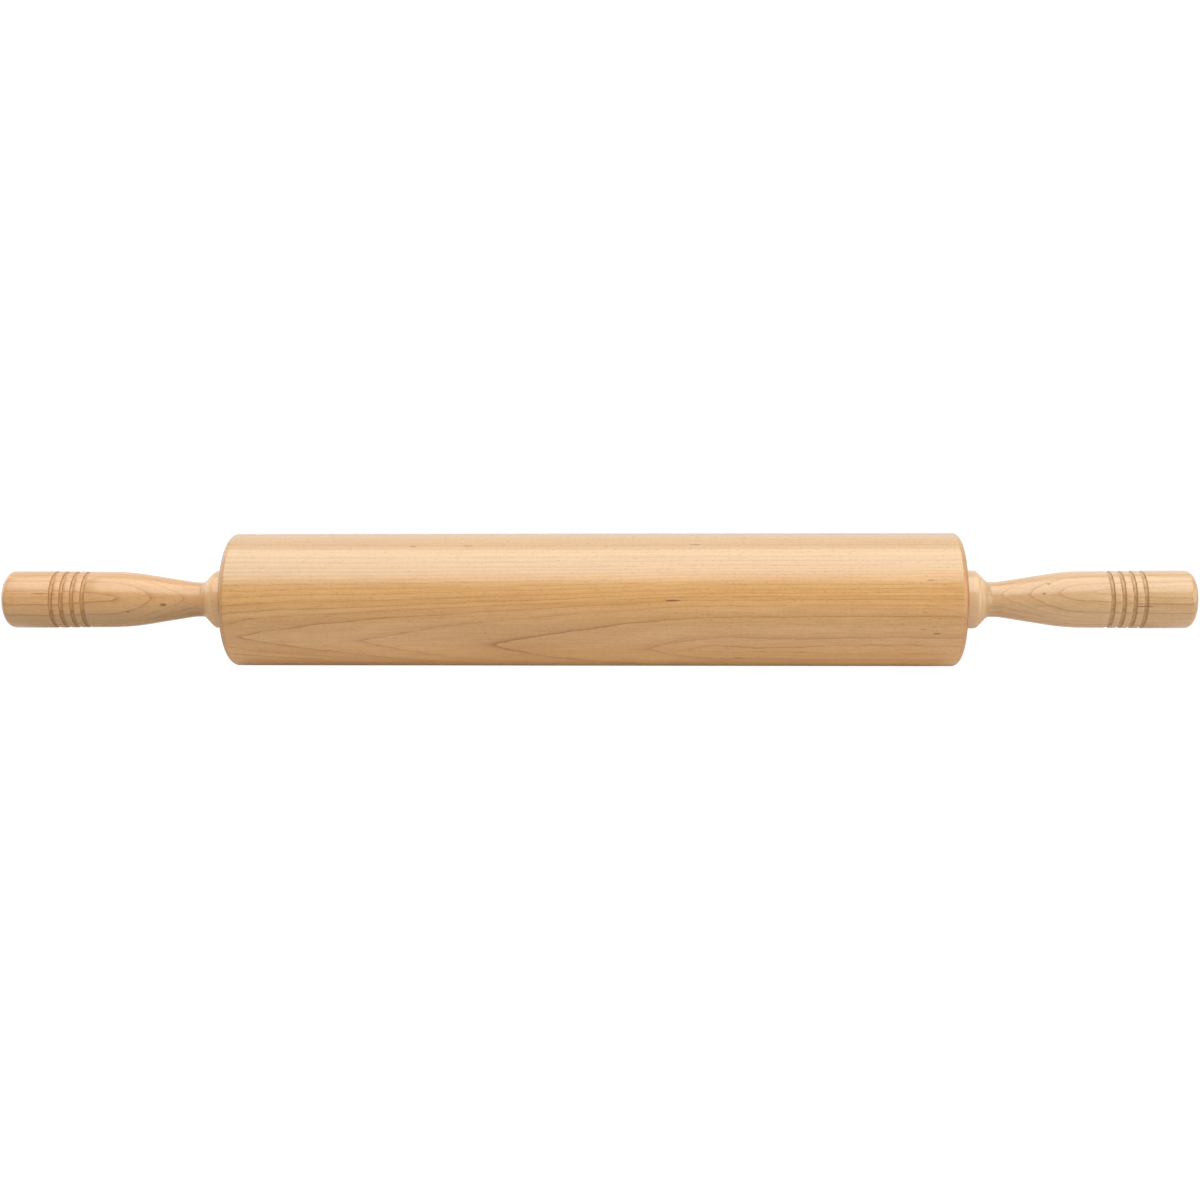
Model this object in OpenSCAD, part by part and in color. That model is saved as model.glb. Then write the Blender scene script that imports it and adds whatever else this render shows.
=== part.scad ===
// Rolling pin with a turning barrel and two turned handles, in millimetres.
// A steel rod runs through the barrel and is clamped to both handles. The barrel
// turns around it on two ball bearings. The rod lies along X, and the origin is on
// the rod's axis in the middle of the barrel.

/* [Barrel] */
// Length of the barrel between its end faces
barrel_length = 381; // [300:1:460]
// Diameter of the rolling surface
barrel_diameter = 69.85; // [60:0.05:90]
// Radius of the rounded edge at each end of the barrel
barrel_edge_round = 3.4; // [1:0.1:6]
// Diameter of the hole bored along the barrel for the rod
barrel_bore = 15.9; // [12.5:0.1:17.5]
// Depth of each bearing's face below the end face of the barrel
bearing_recess = 0.6; // [0.2:0.1:2]

/* [Rod] */
// Diameter of the rod between the bearings
rod_diameter = 10; // [9.6:0.1:11.6]
// Length of thread at each end of the rod
thread_length = 13; // [11:0.5:20]
// Distance from one thread ridge to the next
thread_pitch = 1.25; // [1:0.05:1.5]
// Depth of the thread
thread_depth = 0.7; // [0.4:0.05:0.8]
// Length of rod that stands out of each nut
thread_stickout = 1.5; // [1:0.1:3]

/* [Bearings] */
// Bore of each bearing, which takes the turned-down end of the rod
bearing_bore = 8; // [7:0.1:9]
// Outer diameter of each bearing
bearing_diameter = 22; // [21:0.1:24]
// Width of each bearing
bearing_width = 7; // [6.8:0.1:9]
// Diameter of one ball
ball_diameter = 3.969; // [3.4:0.001:4.1]
// Number of balls in each bearing
ball_count = 7; // [6:1:9]
// Distance from the balls' circle to the lip of each ring
ring_lip = 1.4; // [1.2:0.05:1.6]
// Thickness of the sheet metal shields
shield_thickness = 0.3; // [0.2:0.05:0.4]
// Depth of each shield below the side of its bearing
shield_inset = 0.25; // [0.1:0.05:0.4]
// Height of the lip that holds the edge of each shield
shield_seat = 0.7; // [0.4:0.05:0.9]
// Thickness of the ball cage, measured outwards from the axis
cage_thickness = 1.4; // [1:0.1:1.6]
// Wall of the cage behind the balls
cage_back = 0.55; // [0.4:0.05:0.6]
// Reach of the cage's fingers past the middle of the balls
cage_reach = 0.9; // [0.5:0.1:1.2]

/* [Handles] */
// Gap between the barrel and each handle
handle_gap = 1.2; // [0.8:0.1:3]
// Length of each handle
handle_length = 119.45; // [108:0.05:150]
// Diameter of the straight grip at the outer end
grip_diameter = 30.1; // [29:0.1:34]
// Diameter of the belly, where the grip begins to taper
belly_diameter = 29.5; // [28.5:0.1:31]
// Diameter of the neck, the thinnest place
neck_diameter = 18.3; // [17.5:0.1:22]
// Diameter of the collar beside the barrel
collar_diameter = 30.4; // [28:0.1:40]
// Length of the collar at its full diameter, with its inner edge
collar_width = 6.75; // [5:0.05:10]
// Radius of the collar's edge that faces the barrel
collar_inner_round = 3; // [1:0.1:4]
// Radius of the collar's edge that faces the neck
collar_outer_round = 3.2; // [1:0.1:4]
// Slope of the collar's flank down to the neck, in degrees
collar_slope = 45; // [30:1:60]
// Radius of the hollow between the flank and the neck
cove_round = 4; // [2:0.1:5]
// Length of the neck at its smallest diameter
neck_flat = 1.7; // [0.5:0.1:6]
// Radius with which the neck opens towards the grip
neck_round = 25; // [10:1:35]
// Length over which the neck swells to the belly
swell_length = 46.8; // [45:0.1:50]
// Radius with which the swell levels out at the belly
swell_round = 125; // [60:1:130]
// Radius of the rounded outer end
end_round = 3.8; // [1:0.1:5]

/* [Grip grooves] */
// Number of grooves turned into each handle
groove_count = 4; // [0:1:4]
// Distance from one groove to the next
groove_pitch = 5.6; // [4:0.1:6]
// Width of a groove at the surface
groove_width = 2.15; // [1:0.05:2.6]
// Depth of a groove
groove_depth = 1; // [0.4:0.05:1]
// Distance from the belly to the first groove
groove_start = 11.4; // [4:0.1:12]

/* [Fixings] */
// Diameter of the steel plate let into the inner end of each handle
plate_diameter = 20; // [16:0.1:24]
// Thickness of that plate
plate_thickness = 1; // [0.6:0.1:2]
// Outer diameter of the collar of steel between bearing and plate
spacer_diameter = 12; // [11:0.1:12.2]
// Outer diameter of the washer under each nut
washer_diameter = 16; // [15.6:0.1:18]
// Thickness of that washer
washer_thickness = 1.6; // [1:0.1:2]
// Width of each nut across its flats
nut_flats = 13; // [12.5:0.1:13.5]
// Height of each nut with its locking collar
nut_height = 6.5; // [6:0.1:8]
// Height of the nut's round locking collar
nut_collar_height = 1.6; // [1:0.1:2.5]
// Length of the wooden plug that closes each handle
plug_length = 8; // [5:0.1:12]
// Free space between the end of the rod and the plug
plug_space = 3; // [1:0.1:6]

/* [Clearances] */
// Play between balls, races and cage pockets
ball_play = 0.05; // [0.03:0.01:0.08]
// Play of the rings and shields that are pushed into a seat
seat_play = 0.01; // [0.01:0.01:0.03]
// Play between the rod and the pieces threaded over it
rod_play = 0.1; // [0.05:0.01:0.15]
// Play of the turning inner ring's lip in the shields
shield_play = 0.2; // [0.1:0.05:0.3]
// Room around the washer in its socket
socket_room = 1; // [0.5:0.1:1.5]
// Play of the plug and of the plate in the wood around them
wood_play = 0.02; // [0.01:0.01:0.05]

/* [Hidden] */
$fn = 96;

maple = [0.87, 0.70, 0.49];
dark_maple = [0.80, 0.62, 0.42];
steel = [0.66, 0.67, 0.69];
bright_steel = [0.80, 0.81, 0.83];
zinc = [0.72, 0.73, 0.70];
nylon = [0.90, 0.88, 0.80];

// Places along X, measured outwards from the middle of the barrel.
barrel_end = barrel_length / 2;
bearing_outside = barrel_end - bearing_recess;
bearing_middle = bearing_outside - bearing_width / 2;
bearing_inside = bearing_outside - bearing_width;
handle_start = barrel_end + handle_gap;
handle_end = handle_start + handle_length;
plug_inside = handle_end - plug_length;
rod_end = plug_inside - plug_space;
nut_outside = rod_end - thread_stickout;
nut_inside = nut_outside - nut_height;
socket_floor = nut_inside - washer_thickness;

// Radii of the pieces that fit over or into each other.
rod_end_r = bearing_bore / 2 - seat_play;
over_rod_r = rod_end_r + rod_play;
socket_r = washer_diameter / 2 + socket_room;
grip_r = grip_diameter / 2;
belly_r = belly_diameter / 2;
neck_r = neck_diameter / 2;
collar_r = collar_diameter / 2;

// Raceways: the balls run on a circle midway between the bore and the rim.
ball_r = ball_diameter / 2;
ball_circle_r = (bearing_bore + bearing_diameter) / 4;
inner_lip_r = ball_circle_r - ring_lip;
outer_lip_r = ball_circle_r + ring_lip;
shield_seat_r = outer_lip_r + shield_seat;
shield_outside = bearing_width / 2 - shield_inset;
shield_inside = shield_outside - shield_thickness;

// The flank of the collar is a straight slope between two rounds.
flank_rounds = collar_outer_round + cove_round;
flank_drop = collar_r - neck_r - flank_rounds * (1 - cos(collar_slope));
flank_length = flank_rounds * sin(collar_slope) + flank_drop / tan(collar_slope);
collar_edge = handle_start + collar_width;
cove_end = collar_edge + flank_length;
neck_end = cove_end + neck_flat;
belly = neck_end + swell_length;

// The swell is a straight taper that is tangent to the neck's and the belly's rounds.
swell_rounds = neck_round + swell_round;
swell_rise = belly_r - neck_r;
taper_length = sqrt(swell_length ^ 2 + swell_rise ^ 2 - 2 * swell_rounds * swell_rise);
taper_angle = atan2(swell_length, swell_rounds - swell_rise) - atan2(taper_length, swell_rounds);

// Grooves are arcs whose width and depth are as given above.
first_groove = belly + groove_start;
last_groove = first_groove + groove_pitch * (groove_count - 1);
groove_r = (groove_width ^ 2 / 4 + groove_depth ^ 2) / (2 * groove_depth);

// Points of an arc. A point is [radius from the axis, place along the axis].
function arc(centre, radius, from, to, steps = 12) = [
    for (i = [0 : steps])
        let (a = from + (to - from) * i / steps)
        centre + radius * [cos(a), sin(a)]
];

// The radius of the handle between the belly and the straight grip.
function land_r(place) =
    belly_r + (grip_r - belly_r) * (place - belly) / (last_groove - belly);

// Closes an outline that is given for one half and is the same in the other.
function both_halves(half) = concat(
    half, [for (i = [len(half) - 1 : -1 : 0]) [half[i][0], -half[i][1]]]
);

// Turns a flat outline around the X axis.
module turned() {
    rotate([0, 90, 0])
        rotate_extrude(convexity = 6)
            children();
}

module ring(inner_r, outer_r, from, to) {
    turned()
        translate([inner_r, from])
            square([outer_r - inner_r, to - from]);
}

module left_side() {
    mirror([1, 0, 0])
        children();
}

module barrel() {
    edge_centre = [barrel_diameter / 2 - barrel_edge_round, barrel_end - barrel_edge_round];
    color(maple)
        turned()
            difference() {
                polygon(both_halves(concat(
                    arc(edge_centre, barrel_edge_round, 0, 90), [[0, barrel_end]]
                )));
                translate([0, -barrel_length])
                    square([barrel_bore / 2, 2 * barrel_length]);
                for (side = [-1, 1])
                    translate([0, side * (bearing_inside + barrel_length / 2)])
                        square([bearing_diameter + 2 * seat_play, barrel_length], center = true);
            }
}

// The rod is turned down where it enters the bearings, and threaded at its ends.
module axle_rod() {
    ridges = floor(thread_length / thread_pitch);
    thread_start = rod_end - (ridges + 1) * thread_pitch;
    root_r = rod_end_r - thread_depth;
    thread = [
        for (i = [0 : ridges - 1], half_step = [0, 1])
            [half_step == 0 ? root_r : rod_end_r,
             thread_start + thread_pitch * (i + 0.5 + half_step / 2)]
    ];
    color(steel)
        turned()
            polygon(both_halves(concat(
                [[rod_diameter / 2, bearing_inside], [rod_end_r, bearing_inside],
                 [rod_end_r, thread_start]],
                thread,
                [[root_r, rod_end - thread_pitch / 2], [root_r, rod_end], [0, rod_end]]
            )));
}

module handle() {
    color(maple)
        turned()
            difference() {
                polygon(concat(
                    [[0, handle_start]],
                    arc([collar_r - collar_inner_round, handle_start + collar_inner_round],
                        collar_inner_round, -90, 0),
                    arc([collar_r - collar_outer_round, collar_edge],
                        collar_outer_round, 0, collar_slope),
                    arc([neck_r + cove_round, cove_end], cove_round, 180 + collar_slope, 180),
                    arc([neck_r + neck_round, neck_end], neck_round, 180, 180 - taper_angle),
                    arc([belly_r - swell_round, belly], swell_round, -taper_angle, 0, 24),
                    [[grip_r, last_groove]],
                    arc([grip_r - end_round, handle_end - end_round], end_round, 0, 90),
                    [[0, handle_end]]
                ));
                for (i = [0 : 1 : groove_count - 1])
                    let (place = first_groove + groove_pitch * i)
                    translate([land_r(place) - groove_depth + groove_r, place])
                        circle(groove_r);
                translate([0, handle_start - 1])
                    square([over_rod_r, handle_length]);
                translate([0, handle_start - 1])
                    square([plate_diameter / 2 + wood_play, plate_thickness + 1]);
                translate([0, socket_floor])
                    square([socket_r, handle_length]);
            }
}

module bearing_outer_race() {
    color(bright_steel)
        translate([bearing_middle, 0, 0])
            turned()
                difference() {
                    translate([outer_lip_r, -bearing_width / 2])
                        square([bearing_diameter / 2 - outer_lip_r, bearing_width]);
                    translate([ball_circle_r, 0])
                        circle(ball_r + ball_play);
                    for (side = [-1, 1])
                        translate([0, side * (shield_inside + bearing_width / 2)])
                            square([2 * shield_seat_r, bearing_width], center = true);
                }
}

module bearing_inner_race() {
    color(bright_steel)
        translate([bearing_middle, 0, 0])
            turned()
                difference() {
                    translate([bearing_bore / 2, -bearing_width / 2])
                        square([inner_lip_r - bearing_bore / 2, bearing_width]);
                    translate([ball_circle_r, 0])
                        circle(ball_r + ball_play);
                }
}

// Places what follows once at the middle of every ball.
module at_each_ball() {
    for (i = [0 : ball_count - 1])
        rotate([360 * i / ball_count, 0, 0])
            translate([bearing_middle, 0, ball_circle_r])
                children();
}

module bearing_balls() {
    color(bright_steel)
        at_each_ball()
            sphere(ball_r);
}

// The cage is open towards the handle, so that it snaps over the balls.
module bearing_cage() {
    color(nylon)
        difference() {
            ring(ball_circle_r - cage_thickness / 2, ball_circle_r + cage_thickness / 2,
                 bearing_middle - ball_r - ball_play - cage_back, bearing_middle + cage_reach);
            at_each_ball()
                sphere(ball_r + ball_play);
        }
}

// A shield is held by the outer ring and stays clear of the inner one.
module shield_from(place) {
    color(zinc)
        ring(inner_lip_r + shield_play, shield_seat_r - seat_play,
             place, place + shield_thickness);
}

module bearing_outer_shield() {
    shield_from(bearing_middle + shield_inside);
}

module bearing_inner_shield() {
    shield_from(bearing_middle - shield_outside);
}

// The spacer clamps only the inner ring, so the barrel is free to turn.
module spacer() {
    color(steel)
        ring(over_rod_r, spacer_diameter / 2, bearing_outside, handle_start);
}

module thrust_plate() {
    color(zinc)
        ring(over_rod_r, plate_diameter / 2, handle_start, handle_start + plate_thickness);
}

module washer() {
    color(zinc)
        ring(over_rod_r, washer_diameter / 2, socket_floor, nut_inside);
}

module lock_nut() {
    corner_r = nut_flats / 2 / cos(30);
    hexagon_height = nut_height - nut_collar_height;
    chamfer = corner_r - nut_flats / 2;
    color(zinc)
        difference() {
            union() {
                intersection() {
                    translate([nut_inside, 0, 0])
                        rotate([0, 90, 0])
                            cylinder(h = hexagon_height, r = corner_r, $fn = 6);
                    turned()
                        polygon([
                            [0, nut_inside], [corner_r - chamfer, nut_inside],
                            [corner_r, nut_inside + chamfer],
                            [corner_r, nut_inside + hexagon_height], [0, nut_inside + hexagon_height]
                        ]);
                }
                ring(over_rod_r / 2, nut_flats / 2 - chamfer,
                     nut_inside + hexagon_height / 2, nut_outside);
            }
            ring(0, over_rod_r, nut_inside - 1, nut_outside + 1);
        }
}

module end_plug() {
    color(dark_maple)
        ring(0, socket_r - wood_play, plug_inside, handle_end);
}

barrel();
axle_rod();
left_side() handle();  // left_handle
handle();  // right_handle
left_side() bearing_outer_race();  // left_bearing_outer_race
bearing_outer_race();  // right_bearing_outer_race
left_side() bearing_inner_race();  // left_bearing_inner_race
bearing_inner_race();  // right_bearing_inner_race
left_side() bearing_balls();  // left_bearing_balls
bearing_balls();  // right_bearing_balls
left_side() bearing_cage();  // left_bearing_cage
bearing_cage();  // right_bearing_cage
left_side() bearing_outer_shield();  // left_bearing_outer_shield
bearing_outer_shield();  // right_bearing_outer_shield
left_side() bearing_inner_shield();  // left_bearing_inner_shield
bearing_inner_shield();  // right_bearing_inner_shield
left_side() spacer();  // left_spacer
spacer();  // right_spacer
left_side() thrust_plate();  // left_thrust_plate
thrust_plate();  // right_thrust_plate
left_side() washer();  // left_washer
washer();  // right_washer
left_side() lock_nut();  // left_lock_nut
lock_nut();  // right_lock_nut
left_side() end_plug();  // left_end_plug
end_plug();  // right_end_plug
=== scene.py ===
"""Finishes a rolling pin: turned maple, steel fittings and a soft overhead light."""

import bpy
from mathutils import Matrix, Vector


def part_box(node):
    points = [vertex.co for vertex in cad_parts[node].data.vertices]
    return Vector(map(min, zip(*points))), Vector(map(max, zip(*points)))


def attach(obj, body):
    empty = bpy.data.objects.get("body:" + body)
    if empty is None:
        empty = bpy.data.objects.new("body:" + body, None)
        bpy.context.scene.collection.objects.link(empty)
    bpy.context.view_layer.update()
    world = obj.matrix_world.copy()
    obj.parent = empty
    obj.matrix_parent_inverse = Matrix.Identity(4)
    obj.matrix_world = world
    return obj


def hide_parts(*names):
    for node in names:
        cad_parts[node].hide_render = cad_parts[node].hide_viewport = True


bl_info = {
    "name": "Turned Rolling Pin",
    "version": (1, 0, 0),
    "blender": (4, 5, 0),
    "location": "View3D > Sidebar > Rolling Pin",
    "description": "Turns the wooden pieces of a rolling pin and finishes its steel fittings",
    "category": "Object",
}

from collections import namedtuple
from math import atan2, cos, hypot, pi, radians, sin, sqrt, tan

import bpy
from bpy.props import FloatProperty, FloatVectorProperty, IntProperty, PointerProperty
from bpy.types import Operator, Panel, PropertyGroup
from mathutils import Matrix, Vector

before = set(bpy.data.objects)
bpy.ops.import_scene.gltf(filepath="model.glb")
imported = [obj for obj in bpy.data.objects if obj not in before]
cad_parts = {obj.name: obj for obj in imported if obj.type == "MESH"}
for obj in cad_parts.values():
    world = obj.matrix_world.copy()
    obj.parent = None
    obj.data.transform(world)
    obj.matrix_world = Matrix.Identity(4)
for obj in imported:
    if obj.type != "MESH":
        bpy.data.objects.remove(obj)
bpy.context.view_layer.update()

MM = 0.001

# Smooth shading joins faces that meet at less than this angle, and sharper edges are broken.
SHARP = radians(32)

# Points of an outline that lie nearer to each other than this are drawn as one.
SAME_POINT = MM / 1000

# Power that an area light takes for one unit of radiance over one square metre.
LIGHT_POWER = 4

# How a piece lay in its log, in millimetres:
# pith, the middle of the tree, a line beside the piece, at the middle of the pin
# rings, the distances of growth rings from the pith
# turns, the distances from the pith between which pale wood becomes deeper, dark-ringed wood
# the height band, the height at which deeper wood is tan, and the distances from it between which
# the tan becomes the piece's second tone, which is painted shade over the left handle's lower part
# and a painted highlight along the right handle's top and bottom
# clear, the place along the pin up to which the wood is plain and cream
# thirst, how much finish the end grain drinks, from 0 to 1
# lean, how far the pith moves for each millimetre along the pin, up to the place lean_ends
Blank = namedtuple(
    "Blank", "pith rings turns heart clear thirst lean lean_ends",
    defaults=(0, 1.0, (0, 0, 0), 0.0),
)
BARREL_BLANK = Blank(
    pith=(0, 67.8, 17.4), lean=(0, 0.0212, 0.077), lean_ends=57.0,
    rings=(
        66.0, 68.6, 71.9, 74.2, 77.1, 79.3, 82.2, 84.4, 86.7, 88.1, 89.4, 90.6, 91.9, 93.2,
        94.5, 95.9, 97.1, 98.0, 99.0, 100.6, 103.0, 106.2, 106.95, 109.2,
    ),
    turns=(86, 94), heart=(3, 7, 15),
)
# The left handle's second tone is painted shade, which darkens its lower part.
LEFT_BLANK = Blank(
    pith=(0, 50.4, -32.7), rings=(65.3, 67.6, 69.75, 72.4, 74.6, 75.2, 77.5),
    turns=(50, 52), heart=(11, 7, 15), clear=206, thirst=0.25,
)
# The right handle's second tone is a painted highlight, which makes it paler along its top and
# bottom.
RIGHT_BLANK = Blank(
    pith=(0, 41.7, -40.3), rings=(62.9, 65.2, 67.3, 69.5, 71.8, 72.7, 74.9),
    turns=(50, 52), heart=(0, 10, 15), clear=206, thirst=0.25,
)
# The plugs are tan all over, because they end before their second tone would begin.
PLUG_BLANK = Blank(
    pith=(0, -22.0, 31.0), rings=(30.0, 32.1, 34.0, 36.2, 38.1, 40.3, 42.5),
    turns=(10, 12), heart=(0, 90, 91),
)

# Mineral flecks, which are thin slivers that run outwards from the middle of a piece: place along
# the pin, height above the horizon at which they come out, length and width, in millimetres and
# degrees, and how dark they are.
Fleck = namedtuple("Fleck", "place elevation length width strength")
BARREL_FLECKS = (
    Fleck(41.7, 29.0, 7.8, 0.85, 1.0),
    Fleck(171.2, 46.0, 4.4, 0.6, 0.8),
    Fleck(174.7, 0.3, 4.2, 0.7, 1.0),
    Fleck(167.9, 4.0, 3.0, 0.6, 0.5),
    Fleck(53.5, 83.7, 6.5, 0.7, 0.7),
    Fleck(75.5, -29.5, 5.8, 0.8, 0.7),
    Fleck(-92.1, 81.2, 3.6, 0.7, 0.7),
    Fleck(-63.5, 82.2, 5.4, 0.7, 0.65),
)
LEFT_FLECKS = (
    Fleck(-225.3, 15.5, 3.4, 1.6, 0.9),
    Fleck(-243.7, 2.7, 1.2, 1.0, 0.9),
    Fleck(-247.9, -19.4, 1.2, 0.9, 0.4),
    Fleck(-289.7, 41.8, 8.0, 0.7, 0.7),
    Fleck(-282.7, 40.5, 1.8, 1.1, 0.6),
)
RIGHT_FLECKS = (
    Fleck(235.5, 68.0, 2.6, 1.2, 0.7),
    Fleck(232.6, 43.7, 1.8, 0.9, 0.9),
    Fleck(283.4, 16.0, 9.0, 0.5, 1.0),
)

# Colours of a piece's wood: its pale wood, the early and the late part of its deeper rings, and
# the tint of its second tone, which is painted shade on the left handle and a painted highlight on
# the right one.
Tones = namedtuple("Tones", "pale light dark second")

# The grain all over a piece: its shares of deeper and of figured wood, the lines and the tones
# of its rings, and its fibres.
Grain = namedtuple("Grain", "outer figured line ring_tone fibres")

# Waves in the grain: size in millimetres along and across the pin, detail, and how far they swing.
GRAIN_WAVES = (
    ((85, 30, 30), 1.0, 0.8),
    ((34, 8, 8), 1.0, 0.35),
    ((12, 3, 3), 3.0, 0.35),
)

# How much further out a ring lies for each millimetre beside the plane through pith and axis,
# and how many millimetres beside it that goes on.
POINTEDNESS = 0.08
POINTED_REACH = 6.0

# Length in millimetres over which the lean of a pith ends.
LEAN_FADE = 30.0

# What rings and fibres add to the wood's lightness, and what is taken off their sum.
RING_LIGHTNESS = 0.8
FIBRE_LIGHTNESS = {"Patch": 0.8, "Streak": 0.9, "Fibre": 1.6}
LIGHTNESS_OFFSET = 1.55

# Late wood against early wood where it is pale, in red, green and blue.
PALE_FADES = (0.92, 0.87, 0.78)

# How much of their strength lines and pores keep in pale wood, and how strongly pores and rays
# stain the wood at most.
PALE_SHARE = 0.4
PORE_SHARE = 0.3
RAY_SHARE = 0.3

# Length in millimetres over which clear wood goes over into figured wood.
CLEAR_FADE = 4

# How far a face looks along the pin, from 0 to 1, where it begins to be end grain and where it
# is all end grain, and the same two for the steepest faces, at the ends of a piece and on groove
# walls, where shade is painted, as in the gap between barrel and collar.
END_GRAIN = (0.15, 0.35)
FLAT_END = (0.6, 0.85)


def length(name, description, millimetres):
    """A length property whose default is given in millimetres."""
    return FloatProperty(
        name=name, description=description, default=millimetres * MM, min=0, unit="LENGTH",
        precision=5,
    )


def colour(name, description, value):
    """A colour property. A tint may also brighten."""
    return FloatVectorProperty(
        name=name, description=description, default=value, size=3, min=0, max=2, subtype="COLOR"
    )


def amount(name, description, value, highest=1):
    """A plain number property."""
    return FloatProperty(
        name=name, description=description, default=value, min=0, max=highest, subtype="FACTOR"
    )


def angle(name, description, degrees):
    """An angle property whose default is given in degrees."""
    return FloatProperty(
        name=name, description=description, default=radians(degrees), subtype="ANGLE"
    )


class BarrelSizes(PropertyGroup):
    """Shape of the barrel's rims, and how finely every piece is turned"""

    rim_round: length("Rim round", "Radius of the rounded rim at each end", 4.3)
    rim_start: angle("Rim start", "Slope with which the rim leaves the rolling surface", 14)
    rim_finish: angle("Rim finish", "Slope with which the rim meets the end face", 68)
    facets: IntProperty(
        name="Facets", description="Faces around every turned piece", default=144, min=48
    )
    broken_edge: length("Broken edge", "Width that the sanding takes off sharp edges", 0.3)


class HandleSizes(PropertyGroup):
    """Shape of the handles, from the collar out to the grip"""

    grip: length("Grip diameter", "Diameter of the straight grip", 30.1)
    belly: length("Belly diameter", "Diameter where the grip begins to taper", 29.5)
    neck: length("Neck diameter", "Diameter of the thinnest place", 18.3)
    collar_width: length("Collar width", "Length of the collar with its inner edge", 6.75)
    collar_inner_round: length("Inner round", "Radius of the edge facing the barrel", 3.0)
    collar_outer_round: length("Outer round", "Radius of the edge facing the neck", 3.2)
    collar_slope: angle("Collar slope", "Slope of the flank down to the neck", 45)
    cove_round: length("Cove round", "Radius of the hollow between flank and neck", 4.0)
    crease_place: length("Crease place", "From the collar's round down the flank to the cut", 0.8)
    crease_width: length("Crease width", "Width of the cut between collar and cove", 1.0)
    crease_depth: length("Crease depth", "Depth of the cut between collar and cove", 0.6)
    neck_flat: length("Neck length", "Length of the neck at its smallest", 1.7)
    neck_round: length("Neck round", "Radius with which the neck opens", 25.0)
    swell_length: length("Swell length", "Length over which the neck swells", 46.8)
    swell_round: length("Swell round", "Radius with which the swell levels out", 125.0)
    end_round: length("End round", "Radius of the rounded outer end", 3.8)
    groove_count: IntProperty(
        name="Grooves", description="Grooves turned into the grip", default=4, min=0
    )
    groove_pitch: length("Groove pitch", "Distance from groove to groove", 5.6)
    groove_width: length("Groove width", "Width of a groove at the surface", 2.15)
    groove_depth: length("Groove depth", "Depth of a groove", 1.0)
    groove_start: length("Groove start", "Distance from belly to first groove", 11.4)
    broken_edge: length("Broken edge", "Width that the sanding takes off sharp edges", 0.22)


class WoodLook(PropertyGroup):
    """Colours and lacquer of the maple"""

    barrel_pale: colour("Barrel pale", "Pale wood of the barrel, near the pith", (0.72, 0.46, 0.22))
    barrel_light: colour("Barrel light", "Early wood of the barrel", (0.84, 0.47, 0.17))
    barrel_dark: colour("Barrel dark", "Late wood of the barrel", (0.69, 0.345, 0.094))
    left_light: colour("Left handle light", "Early wood of the left handle", (0.855, 0.475, 0.169))
    left_dark: colour("Left handle dark", "Late wood of the left handle", (0.71, 0.365, 0.116))
    right_light: colour("Right handle light", "Early wood, right handle", (0.795, 0.49, 0.214))
    right_dark: colour("Right handle dark", "Late wood, right handle", (0.645, 0.362, 0.133))
    plug_light: colour("Plug light", "Early wood of the end plugs", (0.71, 0.383, 0.133))
    plug_dark: colour("Plug dark", "Late wood of the end plugs", (0.516, 0.245, 0.071))
    tan_tint: colour("Tan tint", "Tone at the height of a piece's heart", (0.93, 0.94, 0.98))
    golden_tint: colour("Golden tint", "Second tone of the barrel", (0.955, 0.94, 0.83))
    # Painted shade: darkens the lower part of the left handle.
    shade_tint: colour("Shade tint", "Second tone of the left handle", (0.68, 0.68, 0.58))
    # Cream of the clear wood on the collars, and a painted highlight that makes the right handle
    # paler along its top and bottom.
    cream_and_highlight_tint: colour("Cream tint", "Clear wood, and second tone, right handle", (1.0, 1.06, 1.2))
    line_tint: colour("Ring line tint", "How the ring lines darken the wood", (0.62, 0.42, 0.16))
    fleck_tint: colour("Fleck tint", "How flecks darken the wood", (0.38, 0.20, 0.05))
    end_tint: colour("End grain tint", "How end grain deepens the wood", (0.88, 0.75, 0.50))
    # Painted shade in the grooves, with the finish gathered there, and on the steepest faces at the
    # ends.
    hollow_shade_tint: colour("Hollow tint", "How grooves and flat ends darken", (0.62, 0.55, 0.43))
    lacquer: amount("Lacquer", "Strength of the clear coat", 1.0)
    lacquer_roughness: amount("Lacquer roughness", "Roughness of the clear coat", 0.19)


class SteelLook(PropertyGroup):
    """Colours of the metal fittings and of the nylon cages"""

    rod: colour("Rod", "Turned steel of the rod and spacers", (0.56, 0.57, 0.59))
    race: colour("Races", "Ground steel of the bearing rings", (0.68, 0.69, 0.71))
    ball: colour("Balls", "Polished steel of the balls", (0.80, 0.81, 0.83))
    shield: colour("Shields", "Pressed steel of the bearing shields", (0.60, 0.61, 0.63))
    zinc: colour("Zinc", "Zinc plated steel of plates, washers and nuts", (0.62, 0.64, 0.66))
    nylon: colour("Nylon", "Natural nylon of the ball cages", (0.80, 0.77, 0.66))


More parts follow.
